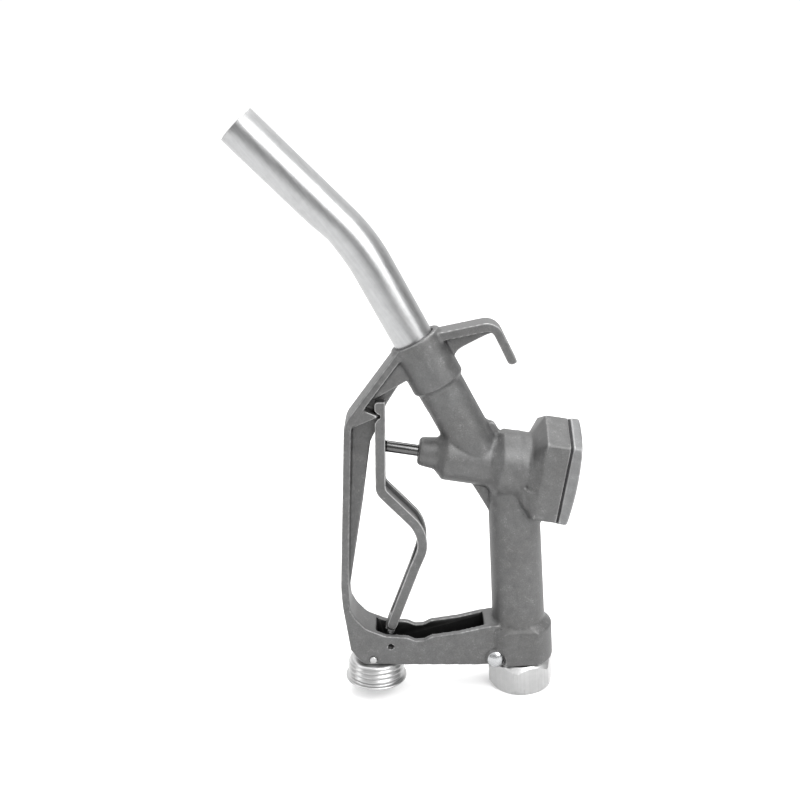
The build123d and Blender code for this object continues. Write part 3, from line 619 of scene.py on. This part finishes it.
def makeThread():
    look = nutLook
    half = look["pitch"] / 2 * look["threadShare"]
    crestStart, crestEnd = (half * share for share in look["crestShare"])
    corners = [(look["threadRadius"], 0, 0), (look["threadCrest"], 0, crestStart),
               (look["threadCrest"], 0, crestEnd), (look["threadRadius"], 0, half * 2)]
    bpy.ops.object.select_all(action="DESELECT")
    bpy.ops.mesh.primitive_circle_add(vertices=4, radius=1, fill_type="NOTHING")
    piece = bpy.context.object
    piece.name = "inletThread"
    writePoints(piece, np.array(corners) * mm + np.array([0, 0, look["threadStart"] * mm]))
    applyModifier(piece, "SCREW", angle=math.tau, screw_offset=look["pitch"] * mm,
                  iterations=look["turns"], steps=look["threadSteps"], render_steps=look["threadSteps"],
                  use_merge_vertices=True, merge_threshold=0.01 * mm)
    startEdit(piece)
    endEdit()
    return finishPiece(piece, "swivel", nutMetal, [], 40)


makeNut()
makeThread()


# small turned and pressed pieces, as eased copies

smallPieces = {
    "valve_stem": ("polishedStem", "valve", "stem_steel", stemMetal, 0.15),
    "swivel_pin": ("domedPin", "body", "zinc_steel", zincMetal, 0.12),
    "foot_pin": ("flatPin", "body", "nut_aluminium", nutMetal, 0.12),
    "foot_plug": ("capStud", "body", "nut_aluminium", nutMetal, 0.2),
    "cover_screws": ("sunkScrews", "body", "zinc_steel", zincMetal, 0.12),
    "gland_circlip": ("glandClip", "body", "spring_steel", springMetal, 0.08),
    "cover_gasket": ("coverSeal", "body", "gasket_sheet", gasketSheet, 0.1),
    "inlet_strainer": ("strainerCup", "swivel", "strainer_plastic", strainerPlastic, 0.1),
}


def makeSmallPieces():
    for node, (name, body, slot, material, edge) in smallPieces.items():
        piece = nodeCopy(node, name)
        applyModifier(piece, "BEVEL", width=edge * mm, segments=2, limit_method="ANGLE",
                      angle_limit=math.radians(38))
        finishPiece(piece, body, material, [node], 35)


makeSmallPieces()


# the return spring: a copy of the node's mesh, finished as it is

def makeSpring():
    piece = nodeCopy("main_spring", "returnSpring")
    points = readPoints(piece)
    finishPiece(piece, "body", springMetal, ["main_spring"], 35)
    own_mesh(piece)


makeSpring()


# the rest of the pieces are carried as they are, with a finish

hiddenPieces = {
    "spout_o_ring": sealRubber, "spout_grub_screw": zincMetal, "spring_guide": guidePlastic,
    "valve_seat": brassMetal, "seal_washer": zincMetal, "poppet_seal": sealRubber, "poppet": brassMetal,
    "stem_nut": zincMetal, "gland_bush": brassMetal, "stem_packing": sealRubber,
    "swivel_o_ring": sealRubber, "inlet_gasket": sealRubber,
}
for node, material in hiddenPieces.items():
    paintNode(node, material)
print("carried nodes painted")


# the studio

studio = {
    "floorWidth": 16.0, "floorFront": -1.0, "floorBack": 12.0, "floorTone": 0.68, "floorGlow": 0.30,
    "behind": 1.35, "around": 0.42, "top": 1.75, "patch": 0.60, "patchAt": (-0.47, -0.85, -0.05),
    "behindFrom": (0.1, 0.8), "topFrom": (0.3, 0.85), "patchFrom": (0.84, 0.97), "backdrop": 1.05,
}


def makeFloor():
    bpy.ops.object.select_all(action="DESELECT")
    depth = studio["floorBack"] - studio["floorFront"]
    middle = (studio["floorBack"] + studio["floorFront"]) / 2
    bpy.ops.mesh.primitive_plane_add(size=1, location=(0, middle, cadBox[0].z))
    floor = bpy.context.object
    floor.name = "floor"
    floor.scale = (studio["floorWidth"], depth, 1)
    settle(floor)
    material, nodes, links, shader, place = startMaterial("floorPaper")
    noise = addNoise(nodes, links, place, 6, 2.0, 0.5)
    tone = studio["floorTone"]
    links.new(addRamp(nodes, links, noise, [(0.3, grey(tone * 0.995)), (0.7, grey(tone))]),
              shader.inputs["Base Color"])
    shader.inputs["Roughness"].default_value = 0.9
    shader.inputs["Specular IOR Level"].default_value = 0.1
    shader.inputs["Emission Color"].default_value = (1, 1, 1, 1)
    shader.inputs["Emission Strength"].default_value = studio["floorGlow"]
    floor.data.materials.append(material)


def addMap(nodes, links, source, fromLow, fromHigh, toLow, toHigh):
    change = nodes.new("ShaderNodeMapRange")
    change.interpolation_type = "SMOOTHSTEP"
    for name, value in (("From Min", fromLow), ("From Max", fromHigh), ("To Min", toLow), ("To Max", toHigh)):
        change.inputs[name].default_value = value
    links.new(source, change.inputs["Value"])
    return change.outputs["Result"]


def mixLevel(nodes, links, share, first, second):
    mix = nodes.new("ShaderNodeMix")
    mix.data_type = "FLOAT"
    links.new(share, mix.inputs[0])
    for place, value in ((2, first), (3, second)):
        if isinstance(value, (int, float)):
            mix.inputs[place].default_value = value
        else:
            links.new(value, mix.inputs[place])
    return mix.outputs[0]


def makeWorld():
    world = bpy.data.worlds.new("studioWorld")
    bpy.context.scene.world = world
    world.use_nodes = True
    nodes, links = world.node_tree.nodes, world.node_tree.links
    place = nodes.new("ShaderNodeTexCoord")
    split = nodes.new("ShaderNodeSeparateXYZ")
    links.new(place.outputs["Generated"], split.inputs["Vector"])
    level = addMap(nodes, links, split.outputs["Y"], *studio["behindFrom"], studio["around"], studio["behind"])
    upward = addMap(nodes, links, split.outputs["Z"], *studio["topFrom"], 0, 1)
    level = mixLevel(nodes, links, upward, level, studio["top"])
    near = nodes.new("ShaderNodeVectorMath")
    near.operation = "DOT_PRODUCT"
    links.new(place.outputs["Generated"], near.inputs[0])
    near.inputs[1].default_value = Vector(studio["patchAt"]).normalized()
    patch = addMap(nodes, links, near.outputs["Value"], *studio["patchFrom"], 0, 1)
    level = mixLevel(nodes, links, patch, level, studio["patch"])
    path = nodes.new("ShaderNodeLightPath")
    level = mixLevel(nodes, links, path.outputs["Is Camera Ray"], level, studio["backdrop"])
    links.new(level, nodes["Background"].inputs["Strength"])
    nodes["Background"].inputs["Color"].default_value = (1, 1, 1, 1)


def makeLight(name, direction, away, target, size, power):
    data = bpy.data.lights.new(name, "AREA")
    data.shape = "RECTANGLE"
    data.size, data.size_y = size
    data.energy = power
    lamp = bpy.data.objects.new(name, data)
    bpy.context.scene.collection.objects.link(lamp)
    lamp.location = Vector(target) + Vector(direction).normalized() * away
    lamp.rotation_mode = "QUATERNION"
    lamp.rotation_quaternion = (-Vector(direction)).to_track_quat("-Z", "Y")


lamps = {
    "keyLight": ((0.57, -0.74, 0.60), 1.3, (0.95, 0.95), 17),
    "leftLight": ((-0.95, -0.25, 0.35), 1.3, (0.4, 0.9), 3),
    "topLight": ((0.0, 0.25, 1.0), 1.6, (1.2, 1.2), 18),
}


cameraPlace = {"aim": (-0.0688, 0.0, 0.2038), "distance": 0.6605, "pitch": 16.5, "roll": 3.9, "lens": 47.25}


def makeCamera():
    data = bpy.data.cameras.new("studioCamera")
    data.lens = cameraPlace["lens"]
    data.sensor_width = 36
    data.clip_start = 0.01
    camera = bpy.data.objects.new("studioCamera", data)
    bpy.context.scene.collection.objects.link(camera)
    tilt = Matrix.Rotation(math.radians(90 - cameraPlace["pitch"]), 4, "X")
    turn = Matrix.Rotation(math.radians(cameraPlace["roll"]), 4, "Y") @ tilt
    place = Vector(cameraPlace["aim"]) + turn @ Vector((0, 0, cameraPlace["distance"]))
    camera.matrix_world = Matrix.Translation(place) @ turn
    bpy.context.scene.camera = camera


middle = (cadBox[0] + cadBox[1]) / 2
makeFloor()
makeWorld()
for name, (direction, away, size, power) in lamps.items():
    makeLight(name, direction, away, middle, size, power)
makeCamera()
bpy.context.scene.view_settings.view_transform = "Standard"
print("studio ready")
